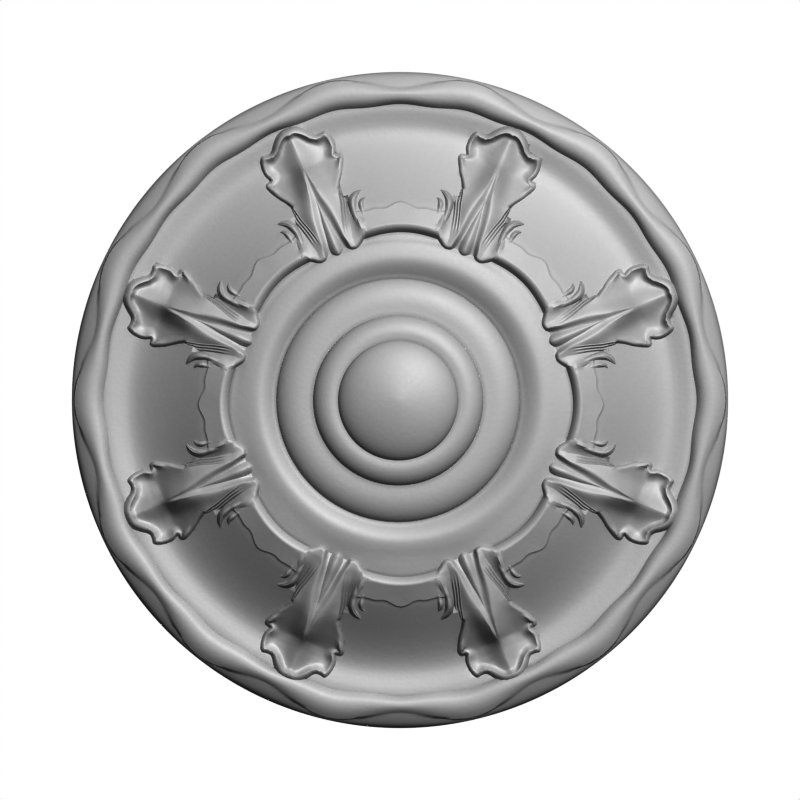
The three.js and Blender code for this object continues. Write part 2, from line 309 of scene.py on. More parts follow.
# Studio: sizes in metres, the floor's colours, and how soft the lights are
FLOOR_SIZE = 30
FLOOR_TONES = ((0.74, 0.74, 0.73, 1), (0.8, 0.8, 0.79, 1))
CAMERA_HEIGHT = -1.5
KEY_DISTANCE = 3.6
KEY_SPREAD = math.radians(12)
BACK_LIGHT_HEIGHT = 2.5
BACK_SPREAD = math.radians(30)


class RoseSizes(PropertyGroup):
    """Sizes of the casting that a user would change."""

    button_radius: FloatProperty(
        name="Button radius", description="Radius of the domed button",
        default=54.9 * MM, unit="LENGTH",
    )
    high_roll_radius: FloatProperty(
        name="Upper roll radius", description="Outer radius of the upper roll",
        default=77.8 * MM, unit="LENGTH",
    )
    low_roll_radius: FloatProperty(
        name="Lower roll radius", description="Outer radius of the lower roll",
        default=111.4 * MM, unit="LENGTH",
    )
    high_roll_height: FloatProperty(
        name="Upper roll height", description="Height of the upper roll's crest",
        default=79 * MM, unit="LENGTH",
    )
    low_roll_height: FloatProperty(
        name="Lower roll height", description="Height of the lower roll's crest",
        default=66 * MM, unit="LENGTH",
    )
    groove_height: FloatProperty(
        name="Groove height", description="Height of the groove around the boss",
        default=52 * MM, unit="LENGTH",
    )
    leaf_count: IntProperty(
        name="Leaves", description="Number of acanthus leaves in the ring", default=8, min=3,
    )
    rim_waves: IntProperty(
        name="Rim waves", description="Number of scallops round the rim", default=14, min=3,
    )
    boss_shift: FloatVectorProperty(
        name="Boss shift", description="How far the boss sits off the disc's centre", size=2,
        default=(-1.75 * MM, -0.4 * MM), unit="LENGTH",
    )
    leaf_shift: FloatVectorProperty(
        name="Leaf ring shift", description="How far the ring of leaves sits off the disc's centre", size=2,
        default=(0.75 * MM, -4.0 * MM), unit="LENGTH",
    )
    disc_segments: IntProperty(
        name="Disc segments", description="Facets round the disc", default=280, min=56,
    )


class RoseFinish(PropertyGroup):
    """Colours of the paint and of the bare back."""

    paint: FloatVectorProperty(
        name="Paint", description="Satin paint on the face", size=4, subtype="COLOR",
        default=(0.42, 0.42, 0.42, 1),
    )
    bare: FloatVectorProperty(
        name="Bare plaster", description="Unpainted plaster on the back", size=4, subtype="COLOR",
        default=(0.55, 0.54, 0.52, 1),
    )


class RoseStudio(PropertyGroup):
    """The room that the rose is seen in."""

    floor_drop: FloatProperty(
        name="Ceiling height", description="How far the floor lies below the rose",
        default=3.0, unit="LENGTH",
    )
    key_strength: FloatProperty(
        name="Key light", description="Strength of the key light", default=4.6,
    )
    back_strength: FloatProperty(
        name="Back light", description="Strength of the light on the floor and on the rose's back",
        default=3.2,
    )
    fill_strength: FloatProperty(
        name="Fill", description="Strength of the even light all round", default=0.27,
    )
    key_azimuth: FloatProperty(
        name="Key azimuth", description="Where the key light stands, as seen from below",
        default=math.radians(60), unit="ROTATION",
    )
    key_tilt: FloatProperty(
        name="Key tilt", description="Angle of the key light from straight below",
        default=math.radians(31.5), unit="ROTATION",
    )
    contrast: FloatProperty(
        name="Display gamma", description="Gamma of the picture; lower gives more contrast",
        default=0.39,
    )
    view_width: FloatProperty(
        name="View width", description="Width that the camera takes in",
        default=DIAMETER * MM * PICTURE_PIXELS / DISC_PIXELS, unit="LENGTH",
    )


# Numbers and curves


def smoothstep(value, low, high):
    """Eases from 0 at the low value to 1 at the high one."""
    share = np.clip((value - low) / (high - low), 0, 1)
    return share * share * (3 - 2 * share)


def blend(low, high, share):
    """Mixes two values by a share of the second."""
    return low + (high - low) * share


def along(stops, y):
    """Value at y on a smooth line through the stops that never overshoots them."""
    ys, values = np.array(stops, float).T
    steps = np.diff(ys)
    slopes = np.diff(values) / steps
    product = slopes[:-1] * slopes[1:]
    tangents = np.concatenate([slopes[:1], np.zeros(len(product)), slopes[-1:]])
    same_way = product > 0
    tangents[1:-1][same_way] = 2 * product[same_way] / (slopes[:-1] + slopes[1:])[same_way]
    y = np.clip(y, ys[0], ys[-1])
    n = np.clip(np.searchsorted(ys, y) - 1, 0, len(steps) - 1)
    t = (y - ys[n]) / steps[n]
    hold = values[n] * (1 + 2 * t) * (1 - t) ** 2 + values[n + 1] * (3 - 2 * t) * t**2
    lean = tangents[n] * t * (1 - t) ** 2 + tangents[n + 1] * (t - 1) * t**2
    return hold + lean * steps[n]


def spline(points, shares):
    """Points on a smooth curve through the given points, at shares of its run."""
    points = np.array(points, float)
    padded = np.vstack([2 * points[0] - points[1], points, 2 * points[-1] - points[-2]])
    place = np.asarray(shares) * (len(points) - 1)
    n = np.minimum(place.astype(int), len(points) - 2)
    t = (place - n)[:, None]
    a, b, c, d = padded[n], padded[n + 1], padded[n + 2], padded[n + 3]
    return 0.5 * (2 * b + (c - a) * t + (2 * a - 5 * b + 4 * c - d) * t**2 + (3 * b - a - 3 * c + d) * t**3)


# Selecting, moving and joining meshes


def deselect_all():
    """Goes to object mode with nothing selected."""
    if bpy.context.object and bpy.context.object.mode != "OBJECT":
        bpy.ops.object.mode_set(mode="OBJECT")
    bpy.ops.object.select_all(action="DESELECT")


def select_only(*objects):
    """Selects these objects and makes the first of them the active one."""
    deselect_all()
    for obj in objects:
        obj.select_set(True)
    bpy.context.view_layer.objects.active = objects[0]


def get_points(obj):
    """A mesh's points in millimetres."""
    flat = np.empty(len(obj.data.vertices) * 3)
    obj.data.vertices.foreach_get("co", flat)
    return flat.reshape(-1, 3) / MM


def set_points(obj, points):
    """Moves a mesh's points, given in millimetres."""
    obj.data.vertices.foreach_set("co", (np.asarray(points) * MM).ravel())
    obj.data.update()


def close_mesh(obj):
    """Merges doubled points and turns every face outwards."""
    select_only(obj)
    bpy.ops.object.mode_set(mode="EDIT")
    bpy.ops.mesh.select_all(action="SELECT")
    bpy.ops.mesh.remove_doubles(threshold=MERGE_DISTANCE * MM)
    bpy.ops.mesh.normals_make_consistent(inside=False)
    bpy.ops.object.mode_set(mode="OBJECT")


def unite(obj, others):
    """Joins other closed meshes to this one as a single solid, and deletes them."""
    group = bpy.data.collections.new("joined")
    bpy.context.scene.collection.children.link(group)
    for other in others:
        group.objects.link(other)
    select_only(obj)
    modifier = obj.modifiers.new("join", "BOOLEAN")
    modifier.operation = "UNION"
    modifier.operand_type = "COLLECTION"
    modifier.collection = group
    modifier.solver = "MANIFOLD"
    bpy.ops.object.modifier_apply(modifier=modifier.name)
    select_only(*others)
    bpy.ops.object.delete()
    bpy.data.collections.remove(group)


# Disc


def cove_height(r):
    """Height of the cove at a distance from the centre."""
    return along(COVE, r)


def rounded_step(crest, outer, top, foot, power, steps):
    """Points down the outside of a rounded step, from its crest to its foot."""
    bend = np.linspace(0, math.pi / 2, steps + 1)
    return list(zip(blend(crest, outer, np.sin(bend) ** (2 / power)), blend(foot, top, np.cos(bend))))


def disc_profile(sizes):
    """Half section of the disc as points of (radius, height), from the button's top to the back."""
    button = sizes.button_radius / MM
    high = sizes.high_roll_radius / MM
    low = sizes.low_roll_radius / MM
    high_top = sizes.high_roll_height / MM
    low_top = sizes.low_roll_height / MM
    groove = sizes.groove_height / MM
    profile = rounded_step(0, button, DEPTH, BUTTON_FOOT, BUTTON_POWER, RINGS["button"])
    profile += [(blend(button, HIGH_ROLL["crest"], 0.5), high_top - HIGH_ROLL["dip"])]
    crest, power = HIGH_ROLL["crest"], HIGH_ROLL["power"]
    profile += rounded_step(crest, high, high_top, low_top, power, RINGS["high_roll"])
    crest, power = LOW_ROLL["crest"], LOW_ROLL["power"]
    profile += [(blend(high, crest, 0.5), low_top)]
    profile += rounded_step(crest, low, low_top, groove, power, RINGS["low_roll"])
    profile += [(r, along(DISH, r)) for r in np.linspace(low, LIP["foot"], RINGS["dish"])[1:]]
    profile += [(r, LIP["crest_height"]) for r in np.linspace(LIP["foot"], LIP_END, RINGS["lip"])[1:]]
    shoulder = np.linspace(LIP_END, COLLAR["reach"] - COLLAR["feather"], RINGS["collar"])[1:]
    below_edge = np.linspace(COLLAR["reach"], COLLAR["end"], RINGS["collar_edge"])
    open_cove = np.linspace(COLLAR["end"], COVE_END, RINGS["cove"])[1:]
    profile += [(r, cove_height(r)) for r in np.concatenate([shoulder, below_edge, open_cove])]
    bead_foot = np.linspace(COVE_END, BEAD["inner"], RINGS["bead_foot"])[1:]
    bend = np.linspace(math.pi / 2, 0, RINGS["bead_inner"])
    bead_inner = blend(BEAD["peak"], BEAD["inner"], np.sin(bend))[1:]
    bead_outer = np.linspace(BEAD["peak"], BEAD["outer"], RINGS["bead_outer"])[1:]
    profile += [(r, BEAD["height"]) for r in np.concatenate([bead_foot, bead_inner, bead_outer])]
    bevel = np.linspace(BEAD["outer"] + BEAD["wall"], RADIUS, RINGS["bevel"])
    profile += [(r, BEVEL["edge_height"]) for r in bevel]
    profile += [(r, 0) for r in np.linspace(RADIUS, 0, RINGS["back"])]
    return profile


def spin_profile(profile, segments):
    """Draws a profile from a plane merged to one point, and spins it into a closed solid."""
    deselect_all()
    bpy.ops.mesh.primitive_plane_add(size=MM)
    obj = bpy.context.object
    bpy.ops.object.mode_set(mode="EDIT")
    bpy.ops.mesh.select_all(action="SELECT")
    bpy.ops.mesh.merge(type="CENTER")
    radius, height = profile[0]
    bpy.ops.transform.translate(value=(radius * MM, 0, height * MM))
    for r, h in profile[1:]:
        step = ((r - radius) * MM, 0, (h - height) * MM)
        bpy.ops.mesh.extrude_region_move(TRANSFORM_OT_translate={"value": step})
        radius, height = r, h
    bpy.ops.mesh.select_all(action="SELECT")
    bpy.ops.mesh.spin(steps=segments, angle=TURN, center=(0, 0, 0), axis=(0, 0, 1))
    bpy.ops.object.mode_set(mode="OBJECT")
    close_mesh(obj)
    return obj


def follow(r, marks, moved):
    """Radii moved so that rings at the marks go to their moved places and those between follow."""
    radius = r.copy()
    for n in range(len(marks) - 1):
        here = (r > marks[n]) & (r <= marks[n + 1] + RING_SLACK)
        share = (r - marks[n]) / (marks[n + 1] - marks[n])
        radius = np.where(here, blend(moved[n], moved[n + 1], share), radius)
    return radius


def lip_foot(facing):
    """Radius of the lip's foot, which wanders: facing is 1 on a leaf's axis and -1 midway between two."""
    return LIP["foot"] - LIP["wander"] * facing


def collar_reach(facing, count):
    """Radius of the collar's ragged edge, with a point midway between two leaves."""
    gap_angle = np.degrees(np.arccos(np.clip(-facing, -1, 1))) / count
    point = COLLAR["point"] * np.exp(-((gap_angle / COLLAR["point_angle"]) ** 2))
    ripple = COLLAR["ripple"] * np.cos(np.radians(gap_angle) * count * COLLAR["ripples"])
    return COLLAR["reach"] + point - ripple


def lip_height(radius, facing, count):
    """Height of the disc's face from the dish's outer part out: the lip's wall, the collar and the cove."""
    foot = lip_foot(facing)
    crest = LIP["crest_height"] + LIP["crest_wander"] * facing
    climb = np.clip((radius - foot) / LIP["wall"], 0, 1)
    wall = blend(DISH[-1][1], crest, 1 - (1 - climb) ** LIP["round"])
    reach = collar_reach(facing, count)
    edge = cove_height(reach) + COLLAR["height"]
    collar = blend(crest, edge, (radius - foot - LIP["wall"]) / (reach - foot - LIP["wall"]))
    shoulder = blend(collar, cove_height(radius), smoothstep(radius, reach - COLLAR["feather"], reach))
    raised = np.where(climb < 1, wall, shoulder)
    return np.where(radius < foot, along(DISH, radius), raised)


def pull_lip(r, angle, height, count):
    """The lip's radius and height, which wander between the leaves, and the collar on the cove."""
    facing = -np.cos(count * angle)
    reach, feather, end = COLLAR["reach"], COLLAR["feather"], COLLAR["end"]
    marks = (DISH_OUTER, LIP["foot"], LIP_END, reach - feather, reach, end)
    ragged = collar_reach(facing, count)
    moved = (DISH_OUTER, lip_foot(facing), LIP_END, ragged - feather, ragged, end)
    radius = follow(r, marks, moved)
    in_lip = (r > LIP["foot"] + RING_SLACK) & (r < end + RING_SLACK)
    return radius, np.where(in_lip, lip_height(radius, facing, count), height)


def pull_rim(r, angle, height, waves):
    """The rim bead's radius and height, which follow the scallops."""
    wave = np.cos(waves * angle)
    twice = np.cos(2 * waves * angle)
    inner = BEAD["inner"] + BEAD_WANDER["inner"] * wave + BEAD_WANDER["inner_twice"] * twice
    peak = BEAD["peak"] + BEAD_WANDER["peak"] * wave + BEAD_WANDER["peak_twice"] * twice
    outer = BEAD["outer"] + BEAD_WANDER["outer"] * wave
    marks = (COVE_END, BEAD["inner"], BEAD["peak"], BEAD["outer"], BEAD["outer"] + BEAD["wall"], RADIUS)
    moved = (COVE_END, inner, peak, outer, outer + BEAD["wall"], RADIUS)
    radius = follow(r, marks, moved)
    top = BEAD["height"] + BEAD_WANDER["height"] * wave
    outer_foot = BEAD["outer_height"] + BEAD_WANDER["outer_height"] * wave
    inward = np.clip((peak - radius) / (peak - inner), 0, 1)
    inner_side = top - (top - cove_height(inner)) * inward ** BEAD["inner_power"]
    outward = (radius - peak) / (outer - peak)
    outer_side = top - (top - outer_foot) * outward ** BEAD["outer_power"]
    climb = np.clip(RADIUS - radius, 0, None) / BEVEL["width"]
    bevel = BEVEL["edge_height"] + BEVEL["rise"] * climb ** BEVEL["power"]
    within = [r <= BEAD[part] + RING_SLACK for part in ("inner", "peak", "outer")]
    raised = np.select(within, [cove_height(radius), inner_side, outer_side], bevel)
    return radius, np.where(r > COVE_END, raised, height)


def sink_under_leaves(plan, height, sizes):
    """Sinks the disc to a bed inside each leaf's outline, so that the leaf's hollows stay open."""
    centred = plan - np.array(sizes.leaf_shift) / MM
    step = TURN / sizes.leaf_count
    r = np.hypot(centred[:, 0], centred[:, 1])
    away = np.arctan2(centred[:, 1], centred[:, 0]) % step - step / 2
    x, y = np.abs(r * np.sin(away)), r * np.cos(away)
    near = (y > FOOT) & (y < TIP) & (height > FACE_ABOVE)
    inset = np.full(len(x), -1.0)
    inset[near] = leaf_edge_at(x[near], y[near])["inset"]
    bed = np.minimum(height, along(LEAF_BED, y))
    return blend(height, bed, smoothstep(inset, *BED_EDGE))


def shape_disc(obj, sizes):
    """Pulls the turned disc's lip and rim into their waves and shifts the boss and the lip off centre."""
    points = get_points(obj)
    on_face = points[:, 2] > FACE_ABOVE
    r = np.hypot(points[:, 0], points[:, 1])
    angle = np.arctan2(points[:, 1], points[:, 0])
    lip_radius, height = pull_lip(r, angle, points[:, 2], sizes.leaf_count)
    rim_radius, height = pull_rim(r, angle, height, sizes.rim_waves)
    radius = np.where(on_face, np.where(r > COVE_END, rim_radius, lip_radius), r)
    boss = 1 - smoothstep(radius, BOSS_END, DISH_CREST)
    past_lip = smoothstep(radius, COLLAR["end"], LIP_SHIFT_END)
    lip = smoothstep(radius, DISH_OUTER, LIP_SHIFTED) * (1 - past_lip)
    shift = np.outer(boss, np.array(sizes.boss_shift) / MM) + np.outer(lip, np.array(sizes.leaf_shift) / MM)
    plan = np.column_stack([radius * np.cos(angle), radius * np.sin(angle)])
    plan += np.where(on_face[:, None], shift, 0)
    height = np.where(on_face, height, points[:, 2])
    set_points(obj, np.column_stack([plan, sink_under_leaves(plan, height, sizes)]))


# Leaves


def leaf_edge():
    """Outline of a half leaf from tip to foot, as arrays by name."""
    names = ("rib", "roll", "crest", "rise")
    parts = []
    for n, lobe in enumerate(LOBES):
        shares = np.linspace(0, 1, lobe["rows"] + 1)[(0 if n == 0 else 1):]
        edge = spline(lobe["points"], shares)
        parts.append(np.column_stack([edge] + [blend(*lobe[name], shares) for name in names]))
    table = dict(zip(("x", "y") + names, np.vstack(parts).T))
    level = (table["y"] < WAIST) & (table["rib"] > FOOT_LOBE["rib"][0])
    table["rib"] = np.where(level, table["y"], table["rib"])
    return table


def leaf_edge_at(x, y):
    """How far inside a leaf's outline each point lies, and what its nearest edge is like."""
    edge = leaf_edge()
    line = np.column_stack([edge["x"], edge["y"]])
    starts, runs = line[:-1], np.diff(line, axis=0)
    offsets = np.column_stack([x, y])[:, None, :] - starts[None]
    share = np.clip((offsets * runs).sum(2) / (runs**2).sum(1), 0, 1)
    distance = np.hypot(*np.moveaxis(offsets - share[:, :, None] * runs, 2, 0))
    nearest = distance.argmin(1)
    each = np.arange(len(x))
    place = nearest + share[each, nearest]
    crosses = (starts[:, 1] > y[:, None]) != (line[1:, 1] > y[:, None])
    slope = runs[:, 0] / np.where(runs[:, 1] == 0, 1, runs[:, 1])
    beyond = x[:, None] < starts[:, 0] + (y[:, None] - starts[:, 1]) * slope
    inside = (crosses & beyond).sum(1) % 2 == 1
    found = {name: np.interp(place, np.arange(len(line)), edge[name]) for name in edge}
    found["rolled"] = edge["roll"][nearest + 1] > 0
    found["inset"] = np.where(inside, 1, -1) * distance[each, nearest]
    return found


def share_at_inset(edge, wanted):
    """Share across each row of a half leaf at which it first lies a wanted distance inside the outline."""
    shares = np.linspace(0, 1, INSET_STEPS + 1)
    x = edge["x"][:, None] * shares
    y = blend(edge["rib"][:, None], edge["y"][:, None], shares)
    inset = leaf_edge_at(x.ravel(), y.ravel())["inset"].reshape(x.shape)
    within = (inset >= wanted[:, None])[:, ::-1]
    length = np.maximum(np.hypot(edge["x"], edge["y"] - edge["rib"]), 1)
    share = np.where(within.any(1), 1 - within.argmax(1) / INSET_STEPS, 0)
    share = np.maximum(share, 1 - ROW_SLANT * wanted / length)
    padded = np.pad(share, EVENED_ROWS // 2, mode="edge")
    return np.convolve(padded, np.full(EVENED_ROWS, 1 / EVENED_ROWS), mode="valid")


def leaf_columns(edge):
    """Shares across each row of a half leaf, with columns on its groove, ridge, pleats and rolled edge."""
    x, y, rib = edge["x"], edge["y"], edge["rib"]
    width = np.maximum(x, 1)
    middle = (y + rib) / 2
    blade = smoothstep(y, *BLADE_FADE)
    foot = 1 - smoothstep(y, *FOOT_FADE)
    groove = along(GROOVE_SPREAD, middle) / width
    ridge = along(RIDGE_SPREAD, middle) / width
    hem = blend(along(HEM_LINE, middle) / width, share_at_inset(edge, edge["crest"] + edge["rise"]), blade)
    valley = blend(along(VALLEY_LINE, middle) / width, share_at_inset(edge, edge["crest"]), blade)
    marks = [np.zeros_like(x)]
    for n, mark in enumerate((groove, ridge, hem, valley)):
        mark = blend(mark, FOOT_MARKS[n], foot)
        marks.append(np.clip(mark, marks[-1] + LEAST_GAP, 1 - (4 - n) * LEAST_GAP))
    marks.append(np.ones_like(x))
    shares = [marks[0][:, None]]
    for n, count in enumerate(COLUMNS):
        steps = np.linspace(0, 1, count + 1)[1:]
        shares.append(blend(marks[n][:, None], marks[n + 1][:, None], steps[None, :]))
    return np.hstack(shares)


def leaf_flank(x, y):
    """Height of a leaf outside its ridge."""
    reach = np.clip(x - along(RIDGE_SPREAD, y), 0, None) / along(FLANK_REACH, y)
    return blend(along(FLANK_FLOOR, y), along(RIDGE_HEIGHT, y), np.exp(-(reach**2) - FLANK_CREASE * reach))


def leaf_side(x, y):
    """Height of a leaf's side below its waist: pleats, a valley and the rim beyond it."""
    hem = along(HEM_LINE, y)
    valley = np.maximum(along(VALLEY_LINE, y), hem + LEAST_FOLD)
    rim = np.maximum(along(RIM_LINE, y), valley + LEAST_FOLD)
    share = np.clip((x - hem) / (valley - hem), 0, 1)
    waves = TURN * PLEATS["count"]
    folding = PLEATS["fold"] * smoothstep(y, PLEATS["bottom"], PLEATS["full"])
    stairs = share - np.sin(waves * share) / waves * folding
    fold = blend(leaf_flank(hem, y), along(VALLEY_HEIGHT, y), stairs)
    climb = np.clip((x - valley) / (rim - valley), 0, 1) ** TROUGH_POWER
    return blend(fold, along(RIM_HEIGHT, y), climb)


def groove_floor(x, y):
    """Height of the groove on a leaf's axis, which is level across the leaf."""
    return along(RIDGE_HEIGHT, y) - along(GROOVE_DEPTH, y)


def leaf_body(x, y):
    """Height of a leaf: the groove on its axis, a leg's ridge, then its flank or pleated side."""
    ridge_x = along(RIDGE_SPREAD, y)
    groove_x = np.maximum(along(GROOVE_SPREAD, y), LEAST_LEG)
    ridge = along(RIDGE_HEIGHT, y)
    floor = groove_floor(x, y)
    climb = np.clip((x - groove_x) / np.maximum(ridge_x - groove_x, LEAST_LEG), 0, 1)
    leg = blend(floor, ridge, (1 - np.cos(math.pi * climb)) / 2)
    side = (y < WAIST) & (x > along(HEM_LINE, y))
    flank = np.where(side, leaf_side(x, y), leaf_flank(x, y))
    return np.select([x >= ridge_x, x >= groove_x], [flank, leg], floor)


def disc_height(x, y, count):
    """Height of the disc's face beside a leaf, in the leaf's frame."""
    return lip_height(np.hypot(x, y), np.cos(count * np.arctan2(x, y)), count)


def leaf_top(x, y, count):
    """Height of a leaf's top on one half of it: its body, its rolled edge and the wall down to the disc."""
    near = leaf_edge_at(x.ravel(), y.ravel())
    near = {name: value.reshape(x.shape) for name, value in near.items()}
    inset = np.maximum(near["inset"], 0)
    disc = disc_height(near["x"], near["y"], count)
    body = leaf_body(x, y)
    rise = np.clip(1 - (inset - near["crest"]) / near["rise"], 0, 1) ** ROLL_POWER
    rolled = np.where(near["rolled"], blend(body, np.maximum(disc + near["roll"], body), rise), body)
    return blend(rolled, disc - EDGE_OVERLAP, np.clip(1 - inset / near["crest"], 0, 1) ** WALL_POWER)


def carve_sheet(x, y, top, under):
    """A solid sheet: a grid laid to rows of points at its underside, extruded up to the top's heights."""
    rows, columns = x.shape
    deselect_all()
    bpy.ops.mesh.primitive_grid_add(x_subdivisions=columns - 1, y_subdivisions=rows - 1, size=1)
    sheet = bpy.context.object
    set_points(sheet, np.column_stack([x.ravel(), y.ravel(), under.ravel()]))
    bpy.ops.object.mode_set(mode="EDIT")
    bpy.ops.mesh.select_all(action="SELECT")
    bpy.ops.mesh.extrude_region_move(TRANSFORM_OT_translate={"value": (0, 0, MM)})
    bpy.ops.object.mode_set(mode="OBJECT")
    points = get_points(sheet)
    raised = np.zeros(len(points), bool)
    sheet.data.vertices.foreach_get("select", raised)
    points[raised, 2] = top.ravel()
    set_points(sheet, points)
    close_mesh(sheet)
    return sheet


def model_leaf(count):
    """A leaf pointing along y, carved from a sheet that reaches down into the disc."""
    edge = leaf_edge()
    shares = leaf_columns(edge)
    half_x = edge["x"][:, None] * shares
    half_y = blend(edge["rib"][:, None], edge["y"][:, None], shares)
    half_top = leaf_top(half_x, half_y, count)
    x = np.hstack([-half_x[:, :0:-1], half_x])
    y = np.hstack([half_y[:, :0:-1], half_y])
    top = np.hstack([half_top[:, :0:-1], half_top])
    return carve_sheet(x, y, top, along(LEAF_BED, y) - BURIED)


def model_roll(stops, side, base_at, flute_depth):
    """A tapering roll over a base, carved from a narrow sheet laid along its path on one side of a leaf."""
    share = np.linspace(0, 1, ROLL_GRID[0] + 1)
    across = np.linspace(-1, 1, ROLL_GRID[1] + 1)
    x, y, width, stand = spline(stops, share).T
    run_x, run_y = np.gradient(x), np.gradient(y)
    run = np.hypot(run_x, run_y)
    sheet_x = x[:, None] + np.outer(width * run_y / run, across)
    sheet_y = y[:, None] - np.outer(width * run_x / run, across)
    base = base_at(x, y)[:, None]
    section = 1 - np.abs(across) ** ROLL_ROUND
    flutes = flute_depth * np.cos(TURN * FROND_FLUTES["count"] * across / 2) * (1 - across**2)
    fluted = smoothstep(share, FROND_FLUTES["start"], FROND_FLUTES["full"])
    top = base - ROLL_EDGE + np.outer(stand + ROLL_EDGE, section) - np.outer(fluted, flutes)
    under = np.broadcast_to(base - ROLL_DEPTH, top.shape)
    return carve_sheet(side * sheet_x, sheet_y, top, under)


def model_spray(count):
    """A leaf with its tongue and with its fronds on either side, as one solid."""
    def on_disc(x, y):
        return disc_height(x, y, count)

    leaf = model_leaf(count)
    rolls = []
    for stops in FRONDS:
        for side in (1, -1):
            rolls.append(model_roll(stops, side, on_disc, FROND_FLUTES["depth"]))
    rolls.append(model_roll(TONGUE, 1, groove_floor, 0))
    unite(leaf, rolls)
    return leaf


def copy_round(obj, count, shift):
    """Turns copies of a leaf round the ring, each with its own mesh, and sets the ring off centre."""
    copies = []
    for n in range(count):
        select_only(obj)
        bpy.ops.object.duplicate(linked=False)
        copy = bpy.context.object
        copy.rotation_euler.z = TURN * (n + 0.5) / count - TURN / 4
        copy.location = (shift[0], shift[1], 0)
        bpy.ops.object.transform_apply(location=True, rotation=True, scale=True)
        copies.append(copy)
    select_only(obj)
    bpy.ops.object.delete()
    return copies


# Finish


def add_node(tree, kind, **settings):
    """Adds a shader node with its settings, and values for its inputs by name."""
    node = tree.nodes.new(kind)
    for name, value in settings.items():
        if name == "inputs":
            for socket, number in value.items():
                node.inputs[socket].default_value = number
        else:
            setattr(node, name, value)
    return node


def plaster_grain():
    """Node group with the uneven tone, roughness and fine pitting of cast plaster."""
    group = bpy.data.node_groups.new("Plaster grain", "ShaderNodeTree")
    group.interface.new_socket("Vector", in_out="INPUT", socket_type="NodeSocketVector")
    group.interface.new_socket("Bump Distance", in_out="INPUT", socket_type="NodeSocketFloat")
    group.interface.new_socket("Tone", in_out="OUTPUT", socket_type="NodeSocketFloat")
    group.interface.new_socket("Roughness", in_out="OUTPUT", socket_type="NodeSocketFloat")
    group.interface.new_socket("Normal", in_out="OUTPUT", socket_type="NodeSocketVector")
    start = group.nodes.new("NodeGroupInput")
    end = group.nodes.new("NodeGroupOutput")
    clouds = add_node(group, "ShaderNodeTexNoise", inputs={"Scale": 7, "Detail": 4, "Roughness": 0.55})
    stipple = add_node(group, "ShaderNodeTexNoise", inputs={"Scale": 260, "Detail": 3, "Roughness": 0.6})
    tone = add_node(group, "ShaderNodeMix", data_type="FLOAT", inputs={"Factor": 0.3})
    rough = add_node(group, "ShaderNodeMapRange", inputs={"To Min": 0.55, "To Max": 0.66})
    bump = add_node(group, "ShaderNodeBump", inputs={"Strength": 0.5})
    links = group.links
    links.new(start.outputs["Vector"], clouds.inputs["Vector"])
    links.new(start.outputs["Vector"], stipple.inputs["Vector"])
    links.new(clouds.outputs["Fac"], tone.inputs["A"])
    links.new(stipple.outputs["Fac"], tone.inputs["B"])
    links.new(stipple.outputs["Fac"], rough.inputs["Value"])
    links.new(stipple.outputs["Fac"], bump.inputs["Height"])
    links.new(start.outputs["Bump Distance"], bump.inputs["Distance"])
    links.new(tone.outputs["Result"], end.inputs["Tone"])
    links.new(rough.outputs["Result"], end.inputs["Roughness"])
    links.new(bump.outputs["Normal"], end.inputs["Normal"])
    return group


def plaster_material(name, colour, group, variation, bump_distance, sheen):
    """Plaster whose colour drifts by a share either way and is darkened by painted shade in the hollows,
    with the grain's roughness and pitting.
    """
    material = bpy.data.materials.new(name)
    material.use_nodes = True
    tree = material.node_tree
    shader = tree.nodes["Principled BSDF"]
    shader.inputs["Specular IOR Level"].default_value = sheen
    place = add_node(tree, "ShaderNodeTexCoord")
    grain = add_node(tree, "ShaderNodeGroup", node_tree=group, inputs={"Bump Distance": bump_distance})
    drift = add_node(tree, "ShaderNodeMix", data_type="RGBA")
    drift.inputs["A"].default_value = [part * (1 - variation) for part in colour[:3]] + [1]
    drift.inputs["B"].default_value = [part * (1 + variation) for part in colour[:3]] + [1]
    tree.links.new(place.outputs["Object"], grain.inputs["Vector"])
    tree.links.new(grain.outputs["Tone"], drift.inputs["Factor"])
    # Painted shade: the attribute darkens the base colour towards dark grey in creases and recesses
    shade_mask = add_node(tree, "ShaderNodeVertexColor", layer_name=SHADE_LAYER)
    shaded = add_node(tree, "ShaderNodeMix", data_type="RGBA")
    shaded.inputs["A"].default_value = SHADE_COLOUR
    tree.links.new(shade_mask.outputs["Color"], shaded.inputs["Factor"])
    tree.links.new(drift.outputs["Result"], shaded.inputs["B"])
    tree.links.new(shaded.outputs["Result"], shader.inputs["Base Color"])
    tree.links.new(grain.outputs["Roughness"], shader.inputs["Roughness"])
    tree.links.new(grain.outputs["Normal"], shader.inputs["Normal"])
    return material


def paint_face_and_back(obj, finish):
    """Gives the casting painted plaster on its face and bare plaster on its back."""
    group = plaster_grain()
    obj.data.materials.clear()
    obj.data.materials.append(plaster_material("Painted plaster", finish.paint, group, **PAINTED))
    obj.data.materials.append(plaster_material("Bare plaster", finish.bare, group, **UNPAINTED))
    for face in obj.data.polygons:
        on_back = face.normal.z > BACK_FACING and face.center.z > -BACK_SKIN * MM
        face.material_index = 1 if on_back else 0


def smooth_by_area(obj):
    """Weights the normals by face area, so that thin faces along a join don't show."""
    select_only(obj)
    bpy.ops.object.shade_smooth_by_angle(angle=SMOOTH_ANGLE)
    modifier = obj.modifiers.new("even", "WEIGHTED_NORMAL")
    modifier.mode = "FACE_AREA"
    modifier.keep_sharp = True
    bpy.ops.object.modifier_apply(modifier=modifier.name)


